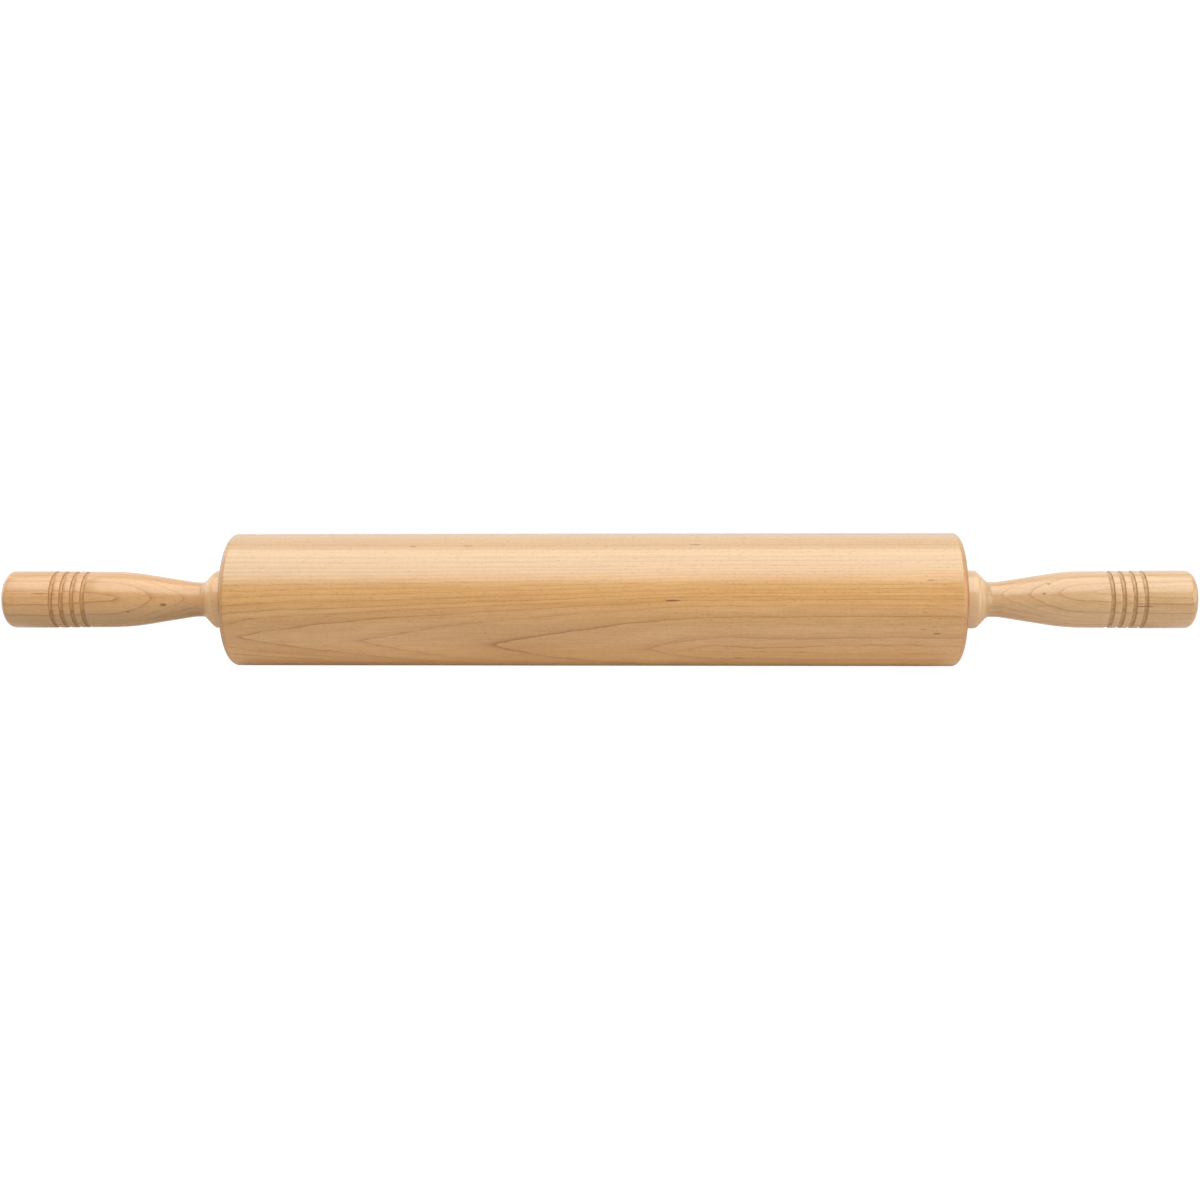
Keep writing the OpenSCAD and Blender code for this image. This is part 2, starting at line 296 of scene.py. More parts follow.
class StudioSetup(PropertyGroup):
    """Camera, lights and floor"""

    distance: length("Camera distance", "From the camera to the place it looks at", 830.0)
    aim: length("Aim", "Place along the pin that the camera looks at", 3.8)
    aim_below: length("Aim below", "How far below the pin's axis the camera looks", 0.35)
    elevation: angle("Elevation", "Height of the camera above the horizon", 30)
    turn: angle("Turn", "How far the camera stands to the right", 2.03)
    lens: FloatProperty(name="Lens", description="Focal length", default=47.24, unit="CAMERA")
    softbox_length: length("Softbox length", "Size of the overhead light along the pin", 1800.0)
    softbox_width: length("Softbox width", "Size of the overhead light across the pin", 1355.0)
    softbox_height: length("Softbox height", "Height of the overhead light", 1050.0)
    softbox_back: length("Softbox back", "How far it hangs behind the pin's middle", 90.0)
    softbox_right: length("Softbox right", "How far it hangs to the right of it", 70.0)
    softbox_radiance: amount("Softbox radiance", "Brightness of the overhead light", 1.63, 20)
    card_size: length("Card size", "Width and height of the light at each end", 1200.0)
    card_distance: length("Card distance", "Along the pin from its middle to each light", 1250.0)
    card_height: length("Card height", "Height of the end lights' middle", 350.0)
    left_back: length("Left card back", "How far the left light stands to the back", 450.0)
    right_front: length("Right card front", "How far the right light stands to the front", 500.0)
    left_card: amount("Left card", "Brightness of the light at the left end", 0.6, 20)
    right_card: amount("Right card", "Brightness of the light at the right end", 1.0, 20)
    ambient: amount("Ambient", "Brightness of the room around", 0.2, 2)
    floor_size: length("Floor size", "Width of the floor", 12000.0)
    floor_white: amount("Floor white", "Share of plain white in the floor near the pin", 0.9)
    floor_near: length("Floor near", "Distance from which the floor gets whiter", 500.0)
    floor_far: length("Floor far", "Distance from which the floor is plain white", 1500.0)


def feed(tree, target, value):
    """Links a socket to an input, or sets the input to a plain value."""
    if isinstance(value, bpy.types.NodeSocket):
        tree.links.new(value, target)
    else:
        target.default_value = value


def add(tree, kind, inputs=(), **settings):
    """Adds a shader node with its settings made and its inputs fed."""
    node = tree.nodes.new("ShaderNode" + kind)
    for name, value in settings.items():
        setattr(node, name, value)
    for name, value in dict(inputs).items():
        feed(tree, node.inputs[name], value)
    return node


def calc(tree, operation, *values, clamp=False):
    """The result of a Math node."""
    node = add(tree, "Math", dict(enumerate(values)), operation=operation, use_clamp=clamp)
    return node.outputs[0]


def vector(tree, operation, *values):
    """The result of a Vector Math node."""
    node = add(tree, "VectorMath", dict(enumerate(values)), operation=operation)
    return node.outputs["Value" if operation in ("LENGTH", "DOT_PRODUCT") else "Vector"]


def scaled(tree, offset, factor):
    """A vector multiplied by a factor."""
    node = add(tree, "VectorMath", {0: offset, "Scale": factor}, operation="SCALE")
    return node.outputs[0]


def split(tree, position):
    """The X, Y and Z of a vector."""
    return add(tree, "SeparateXYZ", {"Vector": position}).outputs


def noise(tree, position, size, detail=2.0, output="Fac"):
    """Noise whose patches have the given size in millimetres along X, Y and Z."""
    stretched = vector(tree, "DIVIDE", position, size)
    node = add(tree, "TexNoise", {"Vector": stretched, "Scale": 1.0, "Detail": detail})
    return node.outputs[output]


def line_noise(tree, place, detail):
    """Noise along one line, with patches of length 1."""
    node = add(
        tree, "TexNoise", {"W": place, "Scale": 1.0, "Detail": detail}, noise_dimensions="1D"
    )
    return node.outputs["Fac"]


def ease(tree, value, low, high, to_low=0.0, to_high=1.0):
    """Maps a value smoothly from one range to another."""
    node = add(tree, "MapRange", {
        "Value": value, "From Min": low, "From Max": high, "To Min": to_low, "To Max": to_high,
    }, interpolation_type="SMOOTHSTEP")
    return node.outputs[0]


def mix(tree, factor, first, second, blend="MIX"):
    """The result of a colour Mix node."""
    node = add(tree, "Mix", data_type="RGBA", blend_type=blend)
    feed(tree, node.inputs[0], factor)
    feed(tree, node.inputs[6], first)
    feed(tree, node.inputs[7], second)
    return node.outputs[2]


def solid(rgb):
    """A colour with its alpha."""
    return (*rgb, 1.0)


def tinted(rgb, tint):
    """A colour multiplied by a tint, with its alpha."""
    return solid(part * share for part, share in zip(rgb, tint))


def stain(tree, colour_below, mask, tint):
    """Multiplies a colour by a tint where a mask is 1."""
    return mix(tree, mask, colour_below, solid(tint), "MULTIPLY")


def new_group(name, inputs, outputs):
    """Makes an empty node group with float or vector inputs and float outputs."""
    group = bpy.data.node_groups.new(name, "ShaderNodeTree")
    for socket_name, kind in inputs.items():
        group.interface.new_socket(socket_name, in_out="INPUT", socket_type="NodeSocket" + kind)
    for socket_name in outputs:
        group.interface.new_socket(socket_name, in_out="OUTPUT", socket_type="NodeSocketFloat")
    given = group.nodes.new("NodeGroupInput").outputs
    result = group.nodes.new("NodeGroupOutput").inputs
    return group, given, result


def use_group(tree, name, build, inputs):
    """Places a node group, which is built at its first use, and returns its outputs."""
    node = tree.nodes.new("ShaderNodeGroup")
    node.node_tree = bpy.data.node_groups.get(name) or build(name)
    for socket_name, value in inputs.items():
        feed(tree, node.inputs[socket_name], value)
    return node.outputs


def new_material(name):
    """Makes a material and returns it with its tree, its shader and the place in millimetres."""
    material = bpy.data.materials.new(name)
    material.use_nodes = True
    tree = material.node_tree
    shader = tree.nodes["Principled BSDF"]
    coordinates = tree.nodes.new("ShaderNodeTexCoord").outputs["Object"]
    position = vector(tree, "MULTIPLY", coordinates, (1 / MM, 1 / MM, 1 / MM))
    return material, tree, shader, position


def roughen(tree, shader, pattern, smoothest, spread):
    """Sets a roughness that rises from its smoothest value with a pattern."""
    feed(tree, shader.inputs["Roughness"], calc(tree, "MULTIPLY_ADD", pattern, spread, smoothest))


def bump(tree, shader, height, strength, millimetres):
    """Raises the surface by a height that is given between 0 and 1."""
    node = add(tree, "Bump", {
        "Height": height, "Strength": strength, "Distance": millimetres * MM,
    })
    feed(tree, shader.inputs["Normal"], node.outputs[0])


def growth_rings_group(name):
    """Distance from the pith and angle around it, with the waves that real grain has."""
    tree, given, result = new_group(
        name,
        {"Position": "Vector", "Pith": "Vector", "Lean": "Vector", "Lean Ends": "Float"},
        ("Radius", "Around"),
    )
    position = given["Position"]
    along = split(tree, position)["X"]
    leaning = calc(tree, "SMOOTH_MIN", along, given["Lean Ends"], LEAN_FADE)
    pith = vector(tree, "ADD", given["Pith"], scaled(tree, given["Lean"], leaning))
    moved = position
    for size, detail, millimetres in GRAIN_WAVES:
        moved = vector(tree, "ADD", moved, swing(tree, position, size, detail, millimetres))
    out = vector(tree, "MULTIPLY", vector(tree, "SUBTRACT", moved, pith), (0, 1, 1))
    radius = vector(tree, "LENGTH", out)
    around = turn_about(tree, out)
    # The rings have a crease in the plane through pith and axis and lie a little further out
    # beside it, which gives the arches on the surface their pointed tips.
    middle = turn_about(tree, vector(tree, "MULTIPLY", pith, (0, -1, -1)))
    aside = calc(tree, "ABSOLUTE", calc(tree, "SUBTRACT", around, middle))
    aside = calc(tree, "MULTIPLY", aside, radius)
    aside = calc(tree, "SMOOTH_MIN", aside, POINTED_REACH, POINTED_REACH / 2)
    pointed = calc(tree, "MULTIPLY", aside, POINTEDNESS)
    feed(tree, result["Radius"], calc(tree, "SUBTRACT", radius, pointed))
    feed(tree, result["Around"], around)
    return tree


def swing(tree, position, size, detail, millimetres):
    """A wandering offset of up to about half the given millimetres."""
    wander = noise(tree, position, size, detail, "Color")
    return scaled(tree, vector(tree, "SUBTRACT", wander, (0.5, 0.5, 0.5)), millimetres)


def turn_about(tree, out):
    """The angle of an offset around the pin's direction, counted from the front."""
    parts = split(tree, out)
    return calc(tree, "ARCTAN2", parts["Z"], calc(tree, "MULTIPLY", parts["Y"], -1.0))


def ring_lines_group(name):
    """Turns a running count of rings into the dark line at each ring's end and its tone."""
    tree, given, result = new_group(
        name, {"Position": "Vector", "Count": "Float", "Fineness": "Float"}, ("Line", "Tone")
    )
    count = given["Count"]
    through = calc(tree, "FRACT", count)
    number = calc(tree, "FLOOR", count)
    # Some rings have a weaker line than others, and each line fades in places.
    luck = add(tree, "TexWhiteNoise", {"W": number}, noise_dimensions="1D").outputs["Value"]
    strength = calc(tree, "MULTIPLY_ADD", luck, 0.5, 0.5)
    fading = ease(tree, noise(tree, given["Position"], (45, 5, 5)), 0.3, 0.6, to_low=0.55)
    # A line is a dark core at the end of its ring, with a wider shade on its inner side.
    core = calc(tree, "MULTIPLY", calc(tree, "POWER", through, given["Fineness"]), 0.9)
    wide = calc(tree, "DIVIDE", given["Fineness"], 5.0)
    shade = calc(tree, "MULTIPLY", calc(tree, "POWER", through, wide), 0.5)
    line = calc(tree, "MULTIPLY", calc(tree, "ADD", core, shade), strength)
    line = calc(tree, "MULTIPLY_ADD", line, fading, calc(tree, "MULTIPLY", through, 0.06))
    feed(tree, result["Line"], line)
    running = calc(tree, "MULTIPLY", count, 0.83)
    feed(tree, result["Tone"], line_noise(tree, running, detail=3.0))
    return tree


def fibres_group(name):
    """Fibres and streaks along the pin, patches of tone, pores, and the flecks of the rays."""
    tree, given, result = new_group(
        name,
        {"Position": "Vector", "Radius": "Float", "Around": "Float"},
        ("Fibre", "Streak", "Patch", "Pore", "Ray"),
    )
    position = given["Position"]
    feed(tree, result["Fibre"], noise(tree, position, (14, 0.55, 0.55)))
    feed(tree, result["Streak"], noise(tree, position, (70, 2.0, 2.0), detail=3.0))
    feed(tree, result["Patch"], noise(tree, position, (95, 16, 16)))
    pores = noise(tree, position, (2.6, 0.42, 0.42), detail=1.0)
    feed(tree, result["Pore"], ease(tree, pores, 0.60, 0.78))
    # Rays run outwards from the pith, so their flecks follow distance from it and angle.
    place = split(tree, position)["X"]
    turned = calc(tree, "MULTIPLY", given["Around"], 100.0)
    polar = add(tree, "CombineXYZ", {"X": place, "Y": given["Radius"], "Z": turned}).outputs[0]
    rays = noise(tree, polar, (1.7, 1.3, 0.4), detail=1.0)
    feed(tree, result["Ray"], ease(tree, rays, 0.58, 0.72))
    return tree


def fleck_group(name):
    """A small dark sliver drawn out along the grain, which runs outwards from the axis."""
    tree, given, result = new_group(
        name,
        {
            "Position": "Vector", "Place": "Float", "Outward": "Vector", "Across": "Vector",
            "Length": "Float", "Width": "Float",
        },
        ("Mask",),
    )
    position = given["Position"]
    past = calc(tree, "SUBTRACT", split(tree, position)["X"], given["Place"])
    along = calc(tree, "DIVIDE", past, given["Length"])
    aside = vector(tree, "DOT_PRODUCT", position, given["Across"])
    across = calc(tree, "DIVIDE", aside, given["Width"])
    away = add(tree, "CombineXYZ", {"X": along, "Y": across}).outputs[0]
    frayed = swing(tree, position, (1.6, 0.5, 0.5), detail=2.0, millimetres=0.5)
    away = vector(tree, "ADD", away, frayed)
    away = vector(tree, "LENGTH", vector(tree, "MULTIPLY", away, (1, 1, 0)))
    mask = ease(tree, away, 0.34, 0.62, to_low=1.0, to_high=0.0)
    near = calc(tree, "GREATER_THAN", vector(tree, "DOT_PRODUCT", position, given["Outward"]), 0.0)
    feed(tree, result["Mask"], calc(tree, "MULTIPLY", mask, near))
    return tree


def fleck_mask(tree, position, fleck):
    """The mask of one fleck, at the fleck's own strength."""
    rise = radians(fleck.elevation)
    outputs = use_group(tree, "Mineral fleck", fleck_group, {
        "Position": position, "Place": fleck.place, "Outward": (0, -cos(rise), sin(rise)),
        "Across": (0, sin(rise), cos(rise)), "Length": fleck.length, "Width": fleck.width,
    })
    return calc(tree, "MULTIPLY", outputs["Mask"], fleck.strength)


def ring_count(tree, radius, rings):
    """Counts rings outwards, so that each given ring radius is a whole number."""
    spread = rings[-1] - rings[0]
    last = len(rings) - 1
    along = calc(tree, "DIVIDE", calc(tree, "SUBTRACT", radius, rings[0]), spread)
    curve = add(tree, "FloatCurve", {"Value": along})
    points = curve.mapping.curves[0].points
    for number, ring in enumerate(rings[1:-1], 1):
        points.new((ring - rings[0]) / spread, number / last)
    for point in points:
        point.handle_type = "VECTOR"
    curve.mapping.use_clip = False
    curve.mapping.extend = "EXTRAPOLATED"
    curve.mapping.update()
    return calc(tree, "MULTIPLY", curve.outputs[0], float(last))


def grain_in(tree, position, blank):
    """The grain all over a piece that is cut from its log as the blank says."""
    rings = use_group(tree, "Growth rings", growth_rings_group, {
        "Position": position, "Pith": blank.pith, "Lean": blank.lean,
        "Lean Ends": blank.lean_ends,
    })
    outer = ease(tree, rings["Radius"], *blank.turns)
    lines = use_group(tree, "Ring lines", ring_lines_group, {
        "Position": position, "Count": ring_count(tree, rings["Radius"], blank.rings),
        "Fineness": calc(tree, "MULTIPLY_ADD", outer, 20.0, 8.0),
    })
    fibres = use_group(tree, "Wood fibres", fibres_group, {
        "Position": position, "Radius": rings["Radius"], "Around": rings["Around"],
    })
    along = calc(tree, "ABSOLUTE", split(tree, position)["X"])
    figured = ease(tree, along, blank.clear - CLEAR_FADE, blank.clear)
    return Grain(outer, figured, lines["Line"], lines["Tone"], fibres)


def lightness(tree, grain):
    """Where the wood lies between its dark tone, 0, and its light tone, 1."""
    light = calc(tree, "MULTIPLY_ADD", grain.ring_tone, RING_LIGHTNESS, -LIGHTNESS_OFFSET)
    for name, weight in FIBRE_LIGHTNESS.items():
        light = calc(tree, "MULTIPLY_ADD", grain.fibres[name], weight, light)
    clear = calc(tree, "SUBTRACT", 1.0, grain.figured)
    return calc(tree, "MAXIMUM", light, clear, clamp=True)


def plain_wood(tree, position, grain, blank, tones, look):
    """The colour of the wood before lines, pores and flecks are drawn on it."""
    light = lightness(tree, grain)
    pale = mix(tree, light, tinted(tones.pale, PALE_FADES), solid(tones.pale))
    deep = mix(tree, light, solid(tones.dark), solid(tones.light))
    wood = mix(tree, grain.outer, pale, deep)
    # Away from its height band a piece takes its second tone: painted shade over the left handle's
    # lower part, and a painted highlight along the right handle's top and bottom.
    height, near, far = blank.heart
    away = calc(tree, "ABSOLUTE", calc(tree, "SUBTRACT", split(tree, position)["Z"], height))
    tint = mix(tree, ease(tree, away, near, far), solid(look.tan_tint), solid(tones.second))
    tint = mix(tree, grain.figured, solid(look.cream_and_highlight_tint), tint)
    return mix(tree, grain.outer, wood, tint, "MULTIPLY")


def draw_grain(tree, wood, grain, look):
    """Draws the ring lines, the pores and the flecks of the rays on the wood."""
    share = ease(tree, grain.outer, 0.0, 1.0, to_low=PALE_SHARE)
    line = calc(tree, "MULTIPLY", grain.line, calc(tree, "MULTIPLY", share, grain.figured))
    pore = calc(tree, "MULTIPLY", grain.fibres["Pore"], calc(tree, "MULTIPLY", share, PORE_SHARE))
    ray = calc(tree, "MULTIPLY", grain.fibres["Ray"], RAY_SHARE)
    wood = stain(tree, wood, line, look.line_tint)
    wood = stain(tree, wood, pore, look.line_tint)
    return stain(tree, wood, ray, look.fleck_tint)


def finish_and_shade_masks(tree, thirst):
    """Where the end grain is soaked with finish, and where shade is painted into the grooves, which
    also hold more finish, and onto the steepest faces.
    """
    end = add(tree, "Attribute", attribute_name="end_grain").outputs["Fac"]
    hollow = add(tree, "Attribute", attribute_name="hollow").outputs["Fac"]
    soaked = ease(tree, end, *END_GRAIN, to_high=thirst)
    outside = ease(tree, hollow, 0.0, 0.1, to_low=1.0, to_high=0.0)
    soaked = calc(tree, "MULTIPLY", soaked, outside)
    # Painted shade in the grooves, together with the finish gathered there, and on the steepest
    # faces at the ends.
    in_groove = ease(tree, hollow, 0.0, 0.2, to_high=0.4)
    end_shade = ease(tree, end, *FLAT_END, to_high=0.6)
    return soaked, calc(tree, "MAXIMUM", in_groove, end_shade)


def maple(name, blank, flecks, tones, look):
    """Clear lacquered maple, cut from its log as the blank says."""
    material, tree, shader, position = new_material(name)
    grain = grain_in(tree, position, blank)
    wood = plain_wood(tree, position, grain, blank, tones, look)
    wood = draw_grain(tree, wood, grain, look)
    for fleck in flecks:
        wood = stain(tree, wood, fleck_mask(tree, position, fleck), look.fleck_tint)
    soaked, filled_and_shaded = finish_and_shade_masks(tree, blank.thirst)
    wood = stain(tree, wood, soaked, look.end_tint)
    # Painted shade darkens the grooves, where it also stands for gathered finish, and the steepest
    # faces at the ends.
    wood = stain(tree, wood, filled_and_shaded, look.hollow_shade_tint)
    feed(tree, shader.inputs["Base Color"], wood)
    fibre = grain.fibres["Fibre"]
    roughen(tree, shader, fibre, smoothest=0.26, spread=0.16)
    shader.inputs["IOR"].default_value = 1.5
    coat = calc(tree, "MULTIPLY_ADD", filled_and_shaded, -look.lacquer, look.lacquer)
    feed(tree, shader.inputs["Coat Weight"], coat)
    shader.inputs["Coat Roughness"].default_value = look.lacquer_roughness
    height = calc(tree, "SUBTRACT", fibre, calc(tree, "MULTIPLY", grain.line, 0.4))
    bump(tree, shader, height, strength=0.35, millimetres=0.05)
    return material


def bore_radius(node):
    """Radius of the hole through a node, which is where its mesh comes nearest to the axis."""
    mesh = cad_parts[node].data
    return min(hypot(vertex.co.y, vertex.co.z) for vertex in mesh.vertices)


def break_edges(piece, width):
    """Takes a little off every sharp edge, as sanding does, and smooths the rest."""
    modifier = piece.modifiers.new("Broken edges", "BEVEL")
    modifier.limit_method = "ANGLE"
    modifier.angle_limit = SHARP
    modifier.width = width
    modifier.segments = 2
    bpy.ops.object.modifier_apply(modifier=modifier.name)
    bpy.ops.object.shade_smooth_by_angle(angle=SHARP)


def mark_end_grain(piece):
    """Stores how far each face looks along the pin, where cut fibres drink more finish and where
    the steepest faces get painted shade.
    """
    values = [abs(normal.vector.x) for normal in piece.data.corner_normals]
    attribute = piece.data.attributes.new("end_grain", "FLOAT", "CORNER")
    attribute.data.foreach_set("value", values)


def dress(piece, body, material, node):
    """Gives a finished wooden piece its material and its place among the moving bodies."""
    mark_end_grain(piece)
    piece.data.materials.clear()
    piece.data.materials.append(material)
    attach(piece, body)
    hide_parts(node)


def settle(name):
    """Names the new active object, puts its place into its mesh, and returns it."""
    bpy.ops.object.transform_apply(location=True, rotation=True, scale=True)
    piece = bpy.context.object
    piece.name = name
    piece.data.name = name
    return piece


def add_round_bar(name, radius, start, end, facets):
    """Adds a plain bar along the pin, as it comes before turning."""
    bpy.ops.object.select_all(action="DESELECT")
    bpy.ops.mesh.primitive_cylinder_add(
        vertices=facets, radius=radius, depth=end - start,
        location=((start + end) / 2, 0, 0), rotation=(0, pi / 2, 0),
    )
    return settle(name)


def mirror_to_left(piece, name):
    """Copies a finished right-hand piece to the left end, with a mesh of its own."""
    bpy.ops.object.select_all(action="DESELECT")
    piece.select_set(True)
    bpy.context.view_layer.objects.active = piece
    bpy.ops.object.duplicate(linked=False)
    copy = settle(name)
    bpy.ops.object.mode_set(mode="EDIT")
    bpy.ops.mesh.select_all(action="SELECT")
    bpy.ops.transform.resize(value=(-1, 1, 1), center_override=(0, 0, 0))
    bpy.ops.mesh.normals_make_consistent(inside=False)
    bpy.ops.object.mode_set(mode="OBJECT")
    return copy


def arc(centre, radius, start, end, steps=12):
    """Points of an arc, each a distance from the axis and a place along it."""
    slopes = [start + (end - start) * step / steps for step in range(steps + 1)]
    return [(centre[0] + radius * cos(slope), centre[1] + radius * sin(slope)) for slope in slopes]


def spin_outline(name, outline, facets):
    """Draws an outline point by point and spins it once around the pin's axis."""
    bpy.ops.object.select_all(action="DESELECT")
    bpy.ops.mesh.primitive_plane_add(size=MM, location=(outline[0][1], 0, outline[0][0]))
    piece = settle(name)
    bpy.ops.object.mode_set(mode="EDIT")
    bpy.ops.mesh.select_mode(type="VERT")
    bpy.ops.mesh.select_all(action="SELECT")
    bpy.ops.mesh.merge(type="CENTER")
    for before, after in zip(outline, outline[1:]):
        step = (after[1] - before[1], 0, after[0] - before[0])
        if hypot(step[0], step[2]) > SAME_POINT:
            bpy.ops.mesh.extrude_vertices_move(TRANSFORM_OT_translate={"value": step})
    bpy.ops.mesh.select_all(action="SELECT")
    bpy.ops.mesh.spin(steps=facets, angle=2 * pi, center=(0, 0, 0), axis=(1, 0, 0))
    bpy.ops.mesh.select_all(action="SELECT")
    bpy.ops.mesh.remove_doubles(threshold=2 * SAME_POINT)
    bpy.ops.mesh.normals_make_consistent(inside=False)
    bpy.ops.object.mode_set(mode="OBJECT")
    return piece


def barrel_outline(sizes):
    """The closed outline of the barrel: its right half, from bore to surface, and the mirror."""
    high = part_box("barrel")[1]
    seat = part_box("right_bearing_outer_race")
    bore = bore_radius("barrel")
    rim, slope = sizes.rim_round, sizes.rim_start
    centre = (high.z - rim * cos(slope), high.x - rim * sin(sizes.rim_finish))
    half = [(bore, seat[0].x), (seat[1].z, seat[0].x), (seat[1].z, high.x)]
    half += arc(centre, rim, sizes.rim_finish, slope)
    # Two more points beside the rim keep its smooth shading off the long straight surface.
    half += [(high.z, centre[1] + rim * sin(slope) - step) for step in (MM, 3 * MM)]
    return half + [(out, -place) for out, place in reversed(half)] + half[:1]


class PIN_OT_turn_barrel(Operator):
    """Turn the barrel: rounded rims, a seat for each bearing and a hole along the axis"""

    bl_idname = "pin.turn_barrel"
    bl_label = "Turn the Barrel"

    def execute(self, context):
        sizes = context.scene.pin_barrel
        look = context.scene.pin_wood
        piece = spin_outline("turned_barrel", barrel_outline(sizes), sizes.facets)
        break_edges(piece, sizes.broken_edge)
        tones = Tones(look.barrel_pale, look.barrel_light, look.barrel_dark, look.golden_tint)
        wood = maple("Barrel maple", BARREL_BLANK, BARREL_FLECKS, tones, look)
        dress(piece, "barrel", wood, "barrel")
        return {"FINISHED"}


def handle_stations(sizes):
    """Places along the right handle where the collar, the cove and the neck end, and the belly."""
    low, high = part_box("right_handle")
    rounds = sizes.collar_outer_round + sizes.cove_round
    slope = sizes.collar_slope
    drop = high.z - sizes.neck / 2 - rounds * (1 - cos(slope))
    edge = low.x + sizes.collar_width
    cove = edge + rounds * sin(slope) + drop / tan(slope)
    neck = cove + sizes.neck_flat
    return edge, cove, neck, neck + sizes.swell_length


def crease(sizes, corner):
    """A fine cut into the collar's flank, below the corner at which the collar's round ends."""
    slope, middle, half = sizes.collar_slope, sizes.crease_place, sizes.crease_width / 2
    points = []
    for down, depth in ((middle - half, 0.0), (middle, sizes.crease_depth), (middle + half, 0.0)):
        out = corner[0] - down * sin(slope) - depth * cos(slope)
        points.append((out, corner[1] + down * cos(slope) - depth * sin(slope)))
    return points


def swell(sizes, neck, belly):
    """The hollow round that opens the neck and the long round of the swell, on one tangent."""
    rounds = sizes.neck_round + sizes.swell_round
    rise = (sizes.belly - sizes.neck) / 2
    taper = sqrt(sizes.swell_length ** 2 + rise ** 2 - 2 * rounds * rise)
    lean = atan2(sizes.swell_length, rounds - rise) - atan2(taper, rounds)
    hollow = arc((sizes.neck / 2 + sizes.neck_round, neck), sizes.neck_round, pi, pi - lean)
    return hollow + arc(
        (sizes.belly / 2 - sizes.swell_round, belly), sizes.swell_round, -lean, 0, steps=24
    )


def groove_lands(sizes):
    """Place of each groove and radius of the wood beside it, which widens to the grip."""
    belly = handle_stations(sizes)[-1]
    whole = sizes.groove_start + sizes.groove_pitch * (sizes.groove_count - 1)
    lands = []
    for number in range(sizes.groove_count):
        past = sizes.groove_start + sizes.groove_pitch * number
        lands.append((belly + past, (sizes.belly + (sizes.grip - sizes.belly) * past / whole) / 2))
    return lands


def grooves(sizes):
    """The grooves of the grip, as hollow arcs."""
    depth = sizes.groove_depth
    radius = (sizes.groove_width ** 2 / 4 + depth ** 2) / (2 * depth)
    lip = pi / 2 + atan2(radius - depth, sizes.groove_width / 2)
    points = []
    for place, land in groove_lands(sizes):
        points += arc((land - depth + radius, place), radius, 2 * pi - lip, lip, steps=16)
    return points


def handle_hole(start, end):
    """The stepped hole through the right handle: its socket, its bore and the plate's seat."""
    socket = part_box("right_end_plug")[1].z
    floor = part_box("right_washer")[0].x
    bore = bore_radius("right_handle")
    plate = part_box("right_thrust_plate")[1]
    return [
        (socket, end), (socket, floor), (bore, floor), (bore, plate.x), (plate.z, plate.x),
        (plate.z, start),
    ]


def handle_outline(sizes):
    """The closed outline of the right handle, from its inner face round to its bore."""
    low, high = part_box("right_handle")
    start, end, collar = low.x, high.x, high.z
    edge, cove, neck, belly = handle_stations(sizes)
    inner, outer, slope = sizes.collar_inner_round, sizes.collar_outer_round, sizes.collar_slope
    cove_round, end_round = sizes.cove_round, sizes.end_round
    outline = arc((collar - inner, start + inner), inner, -pi / 2, 0)
    outline += arc((collar - outer, edge), outer, 0, slope)
    outline += crease(sizes, outline[-1])
    outline += arc((sizes.neck / 2 + cove_round, cove), cove_round, pi + slope, pi)
    outline += swell(sizes, neck, belly)
    outline += grooves(sizes)
    outline += arc((sizes.grip / 2 - end_round, end - end_round), end_round, 0, pi / 2)
    return outline + handle_hole(start, end) + outline[:1]


def mark_hollows(piece, sizes):
    """Stores how deep in a groove each point lies, where more of the finish gathers and where shade
    is painted into the wood.
    """
    lands = groove_lands(sizes)
    depths = [0.0] * len(piece.data.vertices)
    for number, vertex in enumerate(piece.data.vertices):
        out = hypot(vertex.co.y, vertex.co.z)
        for place, land in lands:
            if abs(vertex.co.x - place) < sizes.groove_width / 2 and out > land / 2:
                depths[number] = max(0.0, min(1.0, (land - out) / sizes.groove_depth))
    attribute = piece.data.attributes.new("hollow", "FLOAT", "POINT")
    attribute.data.foreach_set("value", depths)


class PIN_OT_turn_handles(Operator):
    """Turn both handles, with collar, neck, swell and grooved grip"""

    bl_idname = "pin.turn_handles"
    bl_label = "Turn the Handles"

    def execute(self, context):
        sizes = context.scene.pin_handle
        look = context.scene.pin_wood
        facets = context.scene.pin_barrel.facets
        right = spin_outline("turned_right_handle", handle_outline(sizes), facets)
        break_edges(right, sizes.broken_edge)
        mark_hollows(right, sizes)
        left = mirror_to_left(right, "turned_left_handle")
        # The left handle's second tone is painted shade over its lower part.
        shady = Tones(look.left_light, look.left_light, look.left_dark, look.shade_tint)
        wood = maple("Left handle maple", LEFT_BLANK, LEFT_FLECKS, shady, look)
        dress(left, "handles", wood, "left_handle")
        # The right handle's second tone is a painted highlight along its top and bottom.
        creamy_highlighted = Tones(look.right_light, look.right_light, look.right_dark, look.cream_and_highlight_tint)
        wood = maple("Right handle maple", RIGHT_BLANK, RIGHT_FLECKS, creamy_highlighted, look)
        dress(right, "handles", wood, "right_handle")
        return {"FINISHED"}


